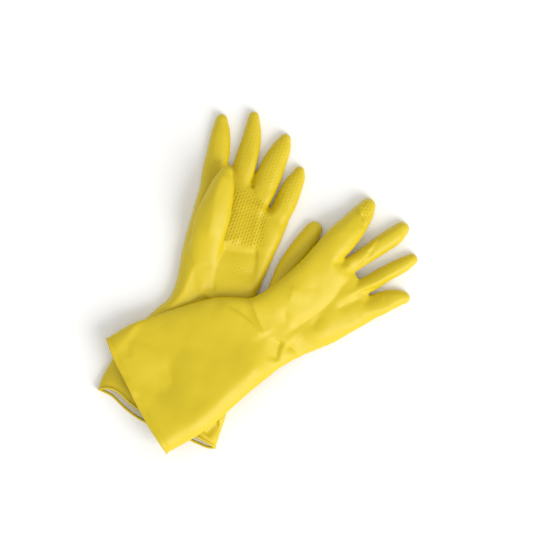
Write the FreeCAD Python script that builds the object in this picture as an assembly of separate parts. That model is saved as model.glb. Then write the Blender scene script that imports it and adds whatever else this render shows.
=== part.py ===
import FreeCAD, Part
import math
import os
from dataclasses import dataclass, replace

"""A pair of flock-lined household gloves, lying crossed at the cuffs.

The left glove lies palm up with its thumb folded over the palm. The right glove lies across its cuff, back up,
with its thumb tucked under the palm. Each glove is a thin dipped film with a flock lining and a rolled bead round
the mouth. A finger is split where its rubber bends, at the middle knuckle, into a stub that belongs to the hand
and a stall that swings.

A glove has its own frame: x across it, y from the mouth to the fingertips, z up from the surface it lies on.
Lengths are millimetres and angles are degrees.
"""

V = FreeCAD.Vector

# Driving dimensions of the material
FILM = 0.5                 # thickness of the dipped rubber film
FLOCK = 0.3                # thickness of the cotton flock on the film's inner face
BEAD_RADIUS = 1.0          # the rolled bead round the mouth
FILM_SETBACK = 0.6         # the film runs this far into the bead
LINING_SETBACK = 1.5       # the flock starts this far inside the mouth
MOUTH_SPARE = 2.0          # a layer is made this much too long, then trimmed at the mouth

# Driving dimensions of the hinges, where the film folds
FOLD_GAP = 0.25            # half the gap between a stub and its stall
FOLD_DEPTH = 2.2           # the fold line lies this far under the surface that creases
FOLD_SPARE = 2.0           # spare half-angle of the crease notch
FOLD_CLEAR = 0.8           # the tool that cuts a fold reaches this far past the digit

# How each glove lies on the table: its mouth's centre and the bearing of its length
LEFT_PLACE = (-100.0, -134.3, 72.0)
RIGHT_PLACE = (-119.6, -109.8, 32.0)

END_CHORDS = 5             # chords that round off each end of a cross-section
BEAD_CHORDS = 6            # chords round the bead's own section
FLAT_ENOUGH = 1e-6         # four corners whose volume is under this lie in a plane
TIP_RINGS = 3              # sections that round off a fingertip
TIP_BLUNTNESS = 0.3        # size of the last ring, as a share of the first


@dataclass(frozen=True)
class Ring:
    """One cross-section of a glove: a flat-topped, round-ended outline about a centre.

    half_width runs across the glove and half_height up. yaw turns the ring about the vertical, and a positive
    roll lifts its left end.
    """

    x: float
    y: float
    z: float
    half_width: float
    half_height: float
    yaw: float = 0.0
    roll: float = 0.0

    def axes(self):
        """Unit vectors across the ring and up it."""
        yaw, roll = math.radians(self.yaw), math.radians(self.roll)
        across = V(math.cos(roll) * math.cos(yaw), math.cos(roll) * math.sin(yaw), -math.sin(roll))
        up = V(math.sin(roll) * math.cos(yaw), math.sin(roll) * math.sin(yaw), math.cos(roll))
        return across, up

    def centre(self):
        return V(self.x, self.y, self.z)

    def outline(self, inset=0.0):
        """The corners of the closed outline, drawn in from the outer surface by inset."""
        across, up = self.axes()
        half_width, rise = self.half_width - inset, self.half_height - inset
        corners = []
        for side in (1, -1):
            for step in range(END_CHORDS + 1):
                turn = math.radians(180.0 * step / END_CHORDS - 90.0)
                u = side * (half_width - rise + rise * math.cos(turn))
                corners.append(self.centre() + across * u + up * (side * rise * math.sin(turn)))
        return corners

    def moved_along(self, distance):
        """The same ring, further along its own normal."""
        yaw = math.radians(self.yaw)
        return replace(self, x=self.x - distance * math.sin(yaw), y=self.y + distance * math.cos(yaw))

    def block_before(self, distance):
        """A block that fills everything before the plane this far beyond the ring."""
        block = Part.makeBox(4 * self.half_width, 2 * self.half_width, 8 * self.half_height,
                             V(-2 * self.half_width, -2 * self.half_width, -4 * self.half_height))
        turned = FreeCAD.Placement(self.moved_along(distance).centre(), FreeCAD.Rotation(V(0, 0, 1), self.yaw))
        return block.transformed(turned.toMatrix(), False)


@dataclass(frozen=True)
class Fold:
    """A line where the film bends: a point on it, its axis, the way along the digit and the way out of the crease.

    half_length and depth are the size of the section that the fold cuts through, and swing is how far it bends.
    """

    point: V
    axis: V
    along: V
    crease: V
    half_length: float
    depth: float
    swing: float

    @classmethod
    def on_ring(cls, ring, swing, sideways=False):
        across, up = ring.axes()
        along = up.cross(across)
        if sideways:
            return cls(ring.centre() + across * (ring.half_width - FOLD_DEPTH), V(0, 0, -1), along, across,
                       ring.half_height, 2 * ring.half_width - FOLD_DEPTH, swing)
        return cls(ring.centre() + up * (ring.half_height - FOLD_DEPTH), across, along, up,
                   ring.half_width, 2 * ring.half_height - FOLD_DEPTH, swing)

    def tool(self):
        """The room the fold needs: a slot behind the fold line, and a notch before it that closes as it bends."""
        rise = FOLD_DEPTH + FOLD_CLEAR
        spread = FOLD_GAP + rise * math.tan(math.radians(self.swing / 2 + FOLD_SPARE))
        floor = -self.depth - FOLD_CLEAR
        outline = [(-FOLD_GAP, floor), (FOLD_GAP, floor), (FOLD_GAP, 0), (spread, rise), (-spread, rise),
                   (-FOLD_GAP, 0)]
        half = self.half_length + FOLD_CLEAR
        corners = [self.point + self.along * run + self.crease * up - self.axis * half for run, up in outline]
        return Part.Face(Part.makePolygon(corners + corners[:1])).extrude(self.axis * half * 2)


@dataclass(frozen=True)
class Digit:
    """A finger or thumb: rings from its root inside the hand, the ring where it folds, and its tip.

    rings are (x, y, z, half_width, half_height). The ring numbered fold is where the film bends. sideways digits
    fold about a vertical axis and the others about one that lies across them.
    """

    name: str
    rings: tuple
    fold: int
    tip: tuple
    reach: float
    sideways: bool = False

    def path(self):
        """The digit's rings with each turned to face along it."""
        points = [ring[:3] for ring in self.rings] + [self.tip]
        turned = []
        for index, ring in enumerate(self.rings):
            before, after = points[max(index - 1, 0)], points[index + 1]
            bearing = math.degrees(math.atan2(after[1] - before[1], after[0] - before[0]))
            turned.append(Ring(*ring, yaw=bearing - 90.0))
        return turned

    def stub_rings(self):
        return self.path()[:self.fold + 1]

    def stall_rings(self, inset):
        """Rings from the fold to the tip, with the tip rounded and drawn in by inset."""
        body = self.path()[self.fold:]
        last = body[-1]
        tip = V(*self.tip)
        axis = tip - last.centre()
        axis = axis * (1 - inset / axis.Length)
        dome = []
        for count in range(1, TIP_RINGS + 1):
            angle = math.radians(90.0 * count / TIP_RINGS)
            size = max(math.cos(angle), TIP_BLUNTNESS)
            centre = last.centre() + axis * math.sin(angle)
            dome.append(replace(last, x=centre.x, y=centre.y, z=centre.z,
                                half_width=inset + (last.half_width - inset) * size,
                                half_height=inset + (last.half_height - inset) * size))
        return body + dome

    def bend(self):
        """The fold of this digit, across its creased side."""
        return Fold.on_ring(self.path()[self.fold], self.reach, self.sideways)


def panel(a, b, c, d):
    """The faces between four corners: one where they lie in a plane, otherwise two triangles."""
    if abs((b - a).cross(c - a).dot(d - a)) < FLAT_ENOUGH:
        return [Part.Face(Part.makePolygon([a, b, c, d, a]))]
    return [Part.Face(Part.makePolygon([a, b, c, a])), Part.Face(Part.makePolygon([a, c, d, a]))]


def closed_solid(faces):
    solid = Part.makeSolid(Part.makeShell(faces))
    return solid if solid.Volume > 0 else solid.reversed()


def loft(rings, inset=0.0):
    """A solid through the rings, drawn in by inset."""
    loops = [ring.outline(inset) for ring in rings]
    faces = [Part.Face(Part.makePolygon(loop + loop[:1])) for loop in (loops[0], loops[-1])]
    for near, far in zip(loops, loops[1:]):
        for index in range(len(near)):
            faces += panel(near[index - 1], near[index], far[index], far[index - 1])
    return closed_solid(faces)


def fused(shapes):
    return shapes[0].multiFuse(shapes[1:]).removeSplitter() if len(shapes) > 1 else shapes[0]


def bead(mouth):
    """The rolled edge: a cord that follows the mouth, half inside and half outside its end."""
    across, up = mouth.axes()
    along = up.cross(across)
    path = mouth.outline(FILM / 2)
    loops = []
    for index, point in enumerate(path):
        outward = (path[index] - path[index - 1]).normalize() + (path[(index + 1) % len(path)] - point).normalize()
        outward = along.cross(outward).normalize()
        turns = [math.radians(360.0 * step / BEAD_CHORDS) for step in range(BEAD_CHORDS)]
        loops.append([point + outward * (BEAD_RADIUS * math.cos(turn)) + along * (BEAD_RADIUS * math.sin(turn))
                      for turn in turns])
    faces = []
    for index, far in enumerate(loops):
        near = loops[index - 1]
        for step in range(BEAD_CHORDS):
            faces += panel(near[step - 1], near[step], far[step], far[step - 1])
    return closed_solid(faces)


# --- The left glove: palm up, underneath -----------------------------------------------------------------------

LEFT_HAND = [
    Ring(0.0, 0.0, 6.0 + BEAD_RADIUS - FILM / 2, 63.5, 6.0, yaw=-8.8),
    Ring(1.0, 35.0, 6.0, 61.5, 6.0, yaw=-6.4),
    Ring(8.6, 75.0, 5.8, 54.0, 5.8, yaw=-5.3),
    Ring(18.5, 112.0, 6.0, 43.5, 6.0),
    Ring(19.0, 141.0, 7.0, 43.0, 7.0),
    Ring(17.0, 167.0, 9.0, 44.0, 9.0),
    Ring(15.3, 205.0, 9.0, 46.5, 9.0),
    Ring(15.0, 230.0, 8.0, 47.0, 8.0, yaw=-15.0),
    Ring(15.0, 243.0, 7.0, 42.0, 4.5, yaw=-22.0),
]

LEFT_DIGITS = [
    Digit("thumb", ((-2.0, 150.0, 8.0, 12.0, 3.5), (-6.0, 176.0, 16.0, 16.0, 5.5), (-8.5, 208.0, 25.0, 16.5, 6.0),
                    (-8.5, 227.0, 25.0, 13.8, 6.0), (-8.9, 243.0, 24.5, 10.8, 5.6)), 2, (-9.6, 257.0, 24.0), 60.0),
    Digit("index", ((-16.0, 228.0, 8.0, 10.5, 5.6), (-22.0, 246.0, 6.4, 10.8, 6.2), (-23.5, 264.0, 6.2, 11.0, 6.2),
                    (-27.6, 288.0, 5.6, 8.8, 5.6)), 2, (-31.5, 304.6, 5.4), 70.0),
    Digit("middle", ((8.0, 232.0, 7.0, 10.5, 5.6), (5.6, 256.0, 6.2, 11.0, 6.2), (4.2, 277.0, 6.2, 10.4, 6.2),
                     (1.2, 302.0, 5.6, 7.6, 5.6)), 2, (-2.4, 316.5, 5.4), 70.0),
    Digit("ring", ((28.0, 224.0, 7.0, 10.5, 5.6), (30.4, 250.0, 6.4, 12.6, 6.4), (31.0, 268.0, 6.4, 12.6, 6.4),
                   (33.6, 290.0, 5.8, 9.6, 5.8)), 2, (34.8, 305.5, 5.6), 70.0),
    Digit("little", ((48.0, 214.0, 7.0, 9.5, 5.6), (54.6, 238.0, 6.2, 10.8, 6.2), (55.6, 252.0, 6.2, 10.2, 6.2),
                     (57.0, 266.0, 5.6, 8.4, 5.6)), 2, (57.8, 279.0, 5.4), 70.0),
]

# --- The right glove: back up, on top, its hand rolled towards the little finger -------------------------------

RIGHT_GAUNTLET = [
    Ring(0.0, 0.0, 19.3, 63.3, 4.6, yaw=-4.8),
    Ring(2.0, 35.0, 18.2, 65.3, 4.6, yaw=-2.0),
    Ring(2.5, 65.0, 17.6, 58.7, 4.6),
    Ring(4.0, 95.0, 18.4, 52.0, 4.8, roll=0.5),
    Ring(10.5, 133.0, 19.8, 40.5, 5.4, roll=5.0),
    Ring(16.0, 151.0, 16.4, 35.5, 6.0, roll=9.6),
]

RIGHT_HAND = [
    RIGHT_GAUNTLET[-1],
    Ring(17.3, 175.0, 16.0, 37.7, 7.5, roll=10.0),
    Ring(17.0, 205.0, 15.8, 42.0, 7.8, roll=9.8),
    Ring(13.3, 234.0, 15.0, 47.0, 7.2, roll=8.6),
    Ring(13.0, 246.0, 14.0, 45.0, 4.2, roll=7.4),
]
WRIST_SWING = 50.0

RIGHT_DIGITS = [
    Digit("thumb", ((2.0, 157.0, 17.5, 7.0, 3.2), (-9.0, 168.0, 11.5, 9.6, 4.6), (-18.5, 180.0, 6.4, 10.6, 5.2),
                    (-27.0, 194.0, 5.6, 10.8, 5.2), (-38.0, 220.0, 5.4, 10.4, 5.0)), 3, (-46.0, 241.0, 5.2), 10.0,
          sideways=True),
    Digit("index", ((-16.0, 230.0, 19.0, 12.5, 5.8), (-23.0, 250.0, 17.0, 14.4, 6.2), (-26.0, 264.0, 13.6, 13.6, 6.2),
                    (-33.0, 285.0, 8.0, 10.3, 5.8)), 2, (-38.6, 298.0, 6.6), 60.0),
    Digit("middle", ((3.0, 232.0, 15.5, 8.2, 5.6), (3.5, 252.0, 12.6, 8.6, 6.0), (3.1, 276.0, 8.0, 9.2, 6.0),
                     (2.2, 299.0, 6.2, 8.8, 5.6)), 2, (1.0, 315.5, 5.8), 60.0),
    Digit("ring", ((28.0, 230.0, 12.0, 8.2, 5.4), (29.0, 254.0, 8.4, 8.4, 5.8), (29.6, 273.0, 6.8, 8.0, 5.8),
                   (30.8, 293.0, 6.0, 7.4, 5.4)), 2, (31.4, 307.0, 5.8), 60.0),
    Digit("little", ((46.0, 226.0, 9.4, 9.0, 5.4), (50.4, 246.0, 7.0, 10.8, 6.0), (51.8, 256.0, 6.6, 10.4, 6.0),
                     (55.0, 268.0, 6.0, 8.6, 5.6)), 2, (60.0, 280.0, 5.8), 60.0),
]


def placement(place):
    x, y, bearing = place
    return FreeCAD.Placement(V(x, y, 0), FreeCAD.Rotation(V(0, 0, 1), bearing - 90.0))


def layer(rings, digits, outer_inset, inner_inset):
    """One layer of a hand with its digits' stubs: the room between two insets of the same surface."""
    outer, inner = [fused([loft(rings, inset)] + [loft(digit.stub_rings(), inset) for digit in digits])
                    for inset in (outer_inset, inner_inset)]
    return outer.cut(inner)


def open_layer(rings, digits, outer_inset, inner_inset, setback):
    """The same layer, open at the mouth, where it stops this far inside the first ring."""
    mouth = rings[0]
    longer = [mouth.moved_along(-MOUTH_SPARE)] + rings
    return layer(longer, digits, outer_inset, inner_inset).cut(mouth.block_before(setback))


def stall_layer(digit, outer_inset, inner_inset):
    """One layer of the part of a digit beyond its fold."""
    outer = loft(digit.stall_rings(outer_inset), outer_inset)
    inner = loft(digit.stall_rings(inner_inset), inner_inset)
    return outer.cut(inner)


def build_left():
    """Every piece of the left glove in its own frame, by name, and its fold lines."""
    folds = {digit.name: digit.bend() for digit in LEFT_DIGITS}
    creases = [fold.tool() for fold in folds.values()]
    mouth = LEFT_HAND[0]
    pieces = {
        "left_hand_shell": open_layer(LEFT_HAND, LEFT_DIGITS, 0, FILM, FILM_SETBACK),
        "left_flock_lining": open_layer(LEFT_HAND, LEFT_DIGITS, FILM, FILM + FLOCK, LINING_SETBACK),
    }
    for name in list(pieces):
        pieces[name] = pieces[name].cut(creases)
    pieces["left_cuff_bead"] = bead(mouth).cut(pieces["left_hand_shell"])
    for digit, crease in zip(LEFT_DIGITS, creases):
        pieces["left_%s_stall" % digit.name] = stall_layer(digit, 0, FILM).cut(crease)
        pieces["left_%s_lining" % digit.name] = stall_layer(digit, FILM, FILM + FLOCK).cut(crease)
    return pieces, folds


def build_right():
    """Every piece of the right glove in its own frame, by name, and its fold lines."""
    folds = {digit.name: digit.bend() for digit in RIGHT_DIGITS}
    creases = [fold.tool() for fold in folds.values()]
    folds["hand"] = Fold.on_ring(RIGHT_HAND[0], WRIST_SWING)
    wrist = folds["hand"].tool()
    mouth = RIGHT_GAUNTLET[0]
    pieces = {
        "right_gauntlet": open_layer(RIGHT_GAUNTLET, [], 0, FILM, FILM_SETBACK).cut(wrist),
        "right_gauntlet_lining": open_layer(RIGHT_GAUNTLET, [], FILM, FILM + FLOCK, LINING_SETBACK).cut(wrist),
        "right_hand_shell": layer(RIGHT_HAND, RIGHT_DIGITS, 0, FILM).cut(creases + [wrist]),
        "right_hand_lining": layer(RIGHT_HAND, RIGHT_DIGITS, FILM, FILM + FLOCK).cut(creases + [wrist]),
    }
    pieces["right_cuff_bead"] = bead(mouth).cut(pieces["right_gauntlet"])
    for digit, crease in zip(RIGHT_DIGITS, creases):
        pieces["right_%s_stall" % digit.name] = stall_layer(digit, 0, FILM).cut(crease)
        pieces["right_%s_lining" % digit.name] = stall_layer(digit, FILM, FILM + FLOCK).cut(crease)
    return pieces, folds


def build():
    """All pieces in the shared frame, by name, and all fold lines as point and axis."""
    pieces, folds = {}, {}
    for side, place, make in (("left", LEFT_PLACE, build_left), ("right", RIGHT_PLACE, build_right)):
        seat = placement(place)
        made, lines = make()
        for name, shape in made.items():
            pieces[name] = shape.transformed(seat.toMatrix(), False)
        for name, fold in lines.items():
            folds["%s_%s" % (side, name)] = (seat.multVec(fold.point), seat.Rotation.multVec(fold.axis))
    box = Part.makeCompound(list(pieces.values())).optimalBoundingBox(True, False)
    shift = V(-box.Center.x, -box.Center.y, -box.ZMin)
    for shape in pieces.values():
        shape.translate(shift)
    folds = {name: (point + shift, axis) for name, (point, axis) in folds.items()}
    return pieces, folds, shift


PIECES, FOLDS, SHIFT = build()
os.makedirs("parts", exist_ok=True)
for node, solid in PIECES.items():
    solid.exportStep("parts/%s.step" % node)
    print(node, len(solid.Solids), "solid", round(solid.Volume), "mm3", "valid" if solid.isValid() else "NOT VALID")
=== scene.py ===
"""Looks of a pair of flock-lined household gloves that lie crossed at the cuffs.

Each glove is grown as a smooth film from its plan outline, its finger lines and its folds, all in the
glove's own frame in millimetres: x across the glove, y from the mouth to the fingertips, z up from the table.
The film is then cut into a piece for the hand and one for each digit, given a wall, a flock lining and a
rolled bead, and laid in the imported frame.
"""

import logging
import math
from dataclasses import dataclass
from enum import Enum
from typing import Optional

import bmesh
import bpy
import numpy as np
import openvdb
from mathutils import Matrix, Vector
from mathutils.bvhtree import BVHTree


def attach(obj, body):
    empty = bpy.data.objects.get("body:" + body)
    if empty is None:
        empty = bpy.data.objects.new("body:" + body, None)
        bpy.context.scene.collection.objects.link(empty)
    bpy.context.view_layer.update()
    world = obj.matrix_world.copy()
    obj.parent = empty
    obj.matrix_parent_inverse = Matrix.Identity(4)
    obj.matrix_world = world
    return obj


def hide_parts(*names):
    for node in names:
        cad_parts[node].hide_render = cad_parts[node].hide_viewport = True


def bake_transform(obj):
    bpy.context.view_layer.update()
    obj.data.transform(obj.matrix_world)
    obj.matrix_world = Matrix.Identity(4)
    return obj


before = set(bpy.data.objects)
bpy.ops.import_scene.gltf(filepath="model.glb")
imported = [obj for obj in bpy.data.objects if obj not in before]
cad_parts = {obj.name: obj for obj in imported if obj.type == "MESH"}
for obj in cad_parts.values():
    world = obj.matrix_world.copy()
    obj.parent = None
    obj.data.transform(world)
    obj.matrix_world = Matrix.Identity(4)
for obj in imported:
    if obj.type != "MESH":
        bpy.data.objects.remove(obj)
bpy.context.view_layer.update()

log = logging.getLogger("gloves")

MM = 0.001
VOXEL = 1.2          # grid pitch of the grown films
FAR = 60.0           # outside a bag its squared half thickness falls no lower than this below zero
BAND = 3.0           # the field is kept this far on each side of the film
LEAST_SLOPE = 0.4    # flattest slope that the field is scaled by
TOP_RISE = 2.2       # the folds reach their full height this far above the middle surface
FLOOR_GAP = 0.02     # the film's underside stays this far above the table
EASING_PASSES = 2
ROLLS = ((42.0, 0.35), (17.0, 0.12))    # width and height of the film's slow and quick unevenness
HAND_EASE = 7.0      # how softly the fingers run into the hand
THUMB_EASE = 1.0
THUMB_DROP = 0.45    # how much of the thumb's thinning towards its edges is taken from its top
THUMB_FILLET = 7.0   # the thumb's root runs into the palm with this fillet
HAND_SHUT = 22.0     # the hand closes over this length before its crotches
DIGIT_ROUNDNESS = 2.6    # power of a digit's cross section, where an ellipse has 2
DIGIT_FLANK = 0.86       # its flanks are thinned to this share
LIP_EASE = 0.9       # share of the mouth's half height over which one lip turns into the other
FILM = 0.5           # wall of the rubber film
FLOCK = 0.3          # wall of the flock lining
FLOCK_GAP = 0.12     # the lining stands this far off the film, so that the two never touch
FLOCK_START = 1.5    # the flock starts this far inside a mouth
BEAD_RADIUS = 1.2    # rolled bead round a mouth
RIM_GROOVE = 2.9     # the film dips this far inside a mouth, where the bead was rolled
BEAD_SIDES = 8
RIM_STEPS = 240
RIM_PASSES = 3
SEAM_MARGIN = 1.6    # a digit's own faces may lie this far outside its half width
SEAM_SLACK = 4.0     # and this far before its seam while the seam is cut
ANY_HEIGHT = (-9.0, 99.0)    # a finger's own faces may lie anywhere between these
GRIP_PITCH = (5.8, 1.95)    # across and along, between staggered lozenges
GRIP_SINK = 0.15            # how deep a lozenge's foot stands in the film
GRIP_FLATNESS = 0.55        # lozenges stand only where the film faces up at least this much
GRIP_LEAST = 0.05           # weaker lozenges than this are left out
GRIP_CENTRE = (10.0, 210.0)    # the lattice turns about this place
GRIP_ROWS = 130
GRIP_ABOVE = 90.0           # the lattice is laid on the film from this height

Points = tuple[tuple[float, ...], ...]


# --- Plan geometry ------------------------------------------------------------------------------------------


def smoothstep(value: np.ndarray, low: float, high: float) -> np.ndarray:
    """Rise smoothly from 0 at low to 1 at high."""
    t = np.clip((value - low) / (high - low), 0.0, 1.0)
    return t * t * (3.0 - 2.0 * t)


def spline(points: Points, step: float = 3.0) -> np.ndarray:
    """Run a smooth curve through points.

    Args:
        points: rows of equal length whose first two values are a plan position.
        step: rough spacing of the rows that come back.

    Returns:
        The curve's rows, with every column interpolated alike.
    """
    rows = np.array(points, float)
    if len(rows) == 2:
        return rows
    padded = np.vstack([2 * rows[0] - rows[1], rows, 2 * rows[-1] - rows[-2]])
    out = []
    for index in range(1, len(padded) - 2):
        p0, p1, p2, p3 = padded[index - 1:index + 3]
        count = max(2, int(np.hypot(*(p2 - p1)[:2]) / step))
        t = np.linspace(0, 1, count, endpoint=False)[:, None]
        out.append(0.5 * (2 * p1 + (p2 - p0) * t + (2 * p0 - 5 * p1 + 4 * p2 - p3) * t ** 2
                          + (3 * p1 - p0 - 3 * p2 + p3) * t ** 3))
    return np.vstack(out + [rows[-1:]])


def plan_run(rows: np.ndarray) -> np.ndarray:
    """Distance in plan of each row from the first, counted through the rows between."""
    return np.concatenate([[0.0], np.cumsum(np.hypot(*np.diff(rows[:, :2], axis=0).T))])


@dataclass
class Nearest:
    """Where each grid point lies beside a curve: distance, side (left is negative), and place along it."""

    distance: np.ndarray
    side: np.ndarray
    place: np.ndarray
    length: float


def nearest(curve: np.ndarray, x: np.ndarray, y: np.ndarray) -> Nearest:
    """Measure every grid point against a curve.

    Args:
        curve: rows whose first two values are plan positions.
        x: grid of x positions.
        y: grid of y positions.

    Returns:
        The measures; place counts millimetres from the curve's first point.
    """
    distance = np.full(x.shape, 1e9)
    side = np.zeros(x.shape)
    place = np.zeros(x.shape)
    run = 0.0
    for a, b in zip(curve[:-1, :2], curve[1:, :2]):
        dx, dy = b - a
        length = math.hypot(dx, dy)
        t = np.clip(((x - a[0]) * dx + (y - a[1]) * dy) / length ** 2, 0, 1)
        ex, ey = x - a[0] - t * dx, y - a[1] - t * dy
        d = np.hypot(ex, ey)
        closer = d < distance
        distance = np.where(closer, d, distance)
        side = np.where(closer, np.sign(ex * dy - ey * dx), side)
        place = np.where(closer, run + t * length, place)
        run += length
    return Nearest(distance, side, place, run)


# --- Folds --------------------------------------------------------------------------------------------------


class FoldKind(Enum):
    """How a fold shapes the film: a ridge or valley along its line, or a step down from left to right."""

    RIDGE = "ridge"
    STEP = "step"


@dataclass(frozen=True)
class Fold:
    """A crease of the upper film. A negative height is a valley, or a step up from left to right.

    left and right are how far the fold reaches on each side, crisp is the radius of its crest, and fade the
    share of its length over which each end dies away. A step's crisp is half the width of its slope.
    """

    points: Points
    height: float
    left: float
    right: float
    crisp: float = 0.8
    fade: tuple[float, float] = (0.35, 0.35)
    kind: FoldKind = FoldKind.RIDGE

    def lift(self, x: np.ndarray, y: np.ndarray) -> np.ndarray:
        """Height that the fold adds to the film over the grid."""
        near = nearest(spline(self.points), x, y)
        taper = np.ones(x.shape)
        for share, run in zip(self.fade, (near.place, near.length - near.place)):
            if share > 0:
                taper = taper * smoothstep(run, 0.0, share * near.length)
        reach = np.where(near.side < 0, self.left, self.right)
        away = np.sqrt(near.distance ** 2 + self.crisp ** 2) - self.crisp
        if self.kind is FoldKind.RIDGE:
            cut = smoothstep(-near.distance, -3.0 * reach, -1.5 * reach)
            return self.height * taper * np.exp(-away / reach) * cut
        slope = np.tanh(near.distance * near.side / self.crisp)
        return -0.5 * self.height * taper * slope * np.exp(-(near.distance / reach) ** 2)


@dataclass(frozen=True)
class Dimple:
    """A round hollow, or a bump when its depth is negative."""

    x: float
    y: float
    depth: float
    radius: float

    def lift(self, x: np.ndarray, y: np.ndarray) -> np.ndarray:
        """Height that the dimple adds to the film over the grid."""
        return -self.depth * np.exp(-((x - self.x) ** 2 + (y - self.y) ** 2) / self.radius ** 2)


def unevenness(x: np.ndarray, y: np.ndarray, seed: int, size: float, height: float) -> np.ndarray:
    """Low rolling unevenness of a limp film.

    Args:
        x: grid of x positions.
        y: grid of y positions.
        seed: fixes the pattern.
        size: rough width of one roll.
        height: rough height of one roll.

    Returns:
        The height to add.
    """
    rng = np.random.default_rng(seed)
    total = np.zeros(x.shape)
    waves = 7
    for _ in range(waves):
        turn, phase = rng.uniform(0, 2 * math.pi, 2)
        wave = 2 * math.pi / (size * rng.uniform(0.7, 1.6))
        total += np.sin(wave * (x * math.cos(turn) + y * math.sin(turn)) + phase)
    return height * total / math.sqrt(waves)


# --- The parts of a glove in plan ---------------------------------------------------------------------------


@dataclass(frozen=True)
class Digit:
    """A finger or thumb: rows of (x, y, underside z, half width, half height) from its root to its tip.

    fold is a place this far from the tip, which is only turned into frame positions, and seam how far from the
    tip its own piece of film starts.
    """

    name: str
    rows: Points
    fold: float
    seam: float
    reach: float = 0.0

    def line(self) -> np.ndarray:
        """The smooth rows."""
        return spline(self.rows)

    def point_from_tip(self, distance: float) -> tuple[np.ndarray, np.ndarray]:
        """Find a place along the digit.

        Args:
            distance: millimetres back from the last row.

        Returns:
            The row there and the plan direction towards the tip.
        """
        rows = self.line()
        run = plan_run(rows)
        at = run[-1] - distance
        row = np.array([np.interp(at, run, column) for column in rows.T])
        ahead = np.array([np.interp(at + 2.0, run, column) for column in rows.T])
        way = (ahead - row)[:2]
        return row, way / np.linalg.norm(way)


@dataclass(frozen=True)
class Hand:
    """The bag of a glove without its digits.

    left and right are its edges, as (x, y); heights are rows of (y, underside z at the middle, thickness,
    roll in degrees); end is the line of the crotches that closes it, as (x, y). sharpness is the power of its
    cross section, and drop how much of its thinning towards the edges is taken from its top.
    """

    left: Points
    right: Points
    heights: Points
    end: Points
    sharpness: float = 5.0
    drop: float = 0.72


@dataclass
class Sheet:
    """Plan maps of one closed bag: squared half thickness, underside, and half thickness at its crown."""

    square: np.ndarray
    base: np.ndarray
    crown: np.ndarray


def hand_sheet(hand: Hand, x: np.ndarray, y: np.ndarray) -> Sheet:
    """Map the bag of a glove."""

    def along(rows: Points, column: int) -> np.ndarray:
        """Read one column of rows along the glove, eased so that no row shows as a kink."""
        run = np.arange(-20.0, 330.0, 1.0)
        width, span = 5.0, 12
        keys = sorted((row[0], row[column]) for row in rows)
        values = np.interp(run, [k[0] for k in keys], [k[1] for k in keys])
        kernel = np.exp(-(np.arange(-span, span + 1) / width) ** 2)
        values = np.convolve(np.pad(values, span, mode="edge"), kernel / kernel.sum(), mode="valid")
        return np.interp(y, run, values)

    left = along(tuple((b, a) for a, b in hand.left), 1)
    right = along(tuple((b, a) for a, b in hand.right), 1)
    base, thick, roll = (along(hand.heights, column) for column in (1, 2, 3))
    middle, half = (left + right) / 2, (right - left) / 2
    q = (x - middle) / half
    crown = thick / 2
    profile = 1 - np.abs(q) ** hand.sharpness
    ends = spline(hand.end)
    order = np.argsort(ends[:, 0])
    ahead = y - np.interp(x, ends[order, 0], ends[order, 1])
    closing = 1 - np.clip(1 + ahead / HAND_SHUT, 0, 3) ** 3
    share = np.where((profile > 0) & (closing > 0), profile * closing, np.minimum(profile, closing))
    return Sheet(np.maximum(crown ** 2 * share, -FAR), base - (x - middle) * np.tan(np.radians(roll)), crown)


def digit_sheet(digit: Digit, x: np.ndarray, y: np.ndarray) -> Sheet:
    """Map one finger or thumb."""
    rows = digit.line()
    near = nearest(rows, x, y)
    run = plan_run(rows)
    base, half, high = (np.interp(near.place, run, rows[:, column]) for column in (2, 3, 4))
    q = near.distance / half
    flank = DIGIT_FLANK + (1 - DIGIT_FLANK) * (1 - np.minimum(q, 1) ** 2)
    return Sheet(np.maximum(high ** 2 * (1 - q ** DIGIT_ROUNDNESS) * flank, -FAR), base, high)


def join(sheets: list[Sheet], ease: float, drop: float) -> tuple[np.ndarray, np.ndarray]:
    """Join bags that share one inside.

    Args:
        sheets: the bags' maps.
        ease: how softly they run into one another, in square millimetres.
        drop: how much of a bag's thinning towards its edge is taken from its top.

    Returns:
        The squared half thickness and the height of the middle surface.
    """
    square = sheets[0].square
    for sheet in sheets[1:]:
        gap = square - sheet.square
        square = 0.5 * (square + sheet.square + np.sqrt(gap ** 2 + ease ** 2))
    weights = [np.exp(np.clip(sheet.square - square, -FAR, 0) / HAND_EASE) for sheet in sheets]
    total = sum(weights)
    base = sum(w * s.base for w, s in zip(weights, sheets)) / total
    crown = sum(w * s.crown for w, s in zip(weights, sheets)) / total
    half = np.sqrt(np.maximum(square, 0.0))
    return square, base + (1 - drop) * (crown - half) + half


# --- Growing the film ---------------------------------------------------------------------------------------


@dataclass(frozen=True)
class Grid:
    """The block of space a glove is grown in."""

    x0: float
    x1: float
    y0: float
    y1: float
    z0: float
    z1: float

    def axes(self) -> tuple[np.ndarray, np.ndarray, np.ndarray]:
        """Positions of the grid planes along x, y and z."""
        return tuple(np.arange(low, high, VOXEL) for low, high in
                     ((self.x0, self.x1), (self.y0, self.y1), (self.z0, self.z1)))


def solid_field(grid: Grid, square: np.ndarray, middle: np.ndarray, lift: np.ndarray) -> np.ndarray:
    """Turn plan maps into a field whose zero surface is the film.

    Args:
        grid: the block of space.
        square: squared half thickness over the plan.
        middle: height of the middle surface.
        lift: what the folds add to the top.

    Returns:
        A field over the block, close to millimetres from the film and negative inside.
    """
    z = grid.axes()[2][None, None, :]
    half = np.sqrt(np.maximum(square, 1.0))[:, :, None]
    away = z - middle[:, :, None]
    away = away - lift[:, :, None] * smoothstep(away, 0.0, TOP_RISE)
    return (away ** 2 - square[:, :, None]) / (2 * half)


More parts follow.
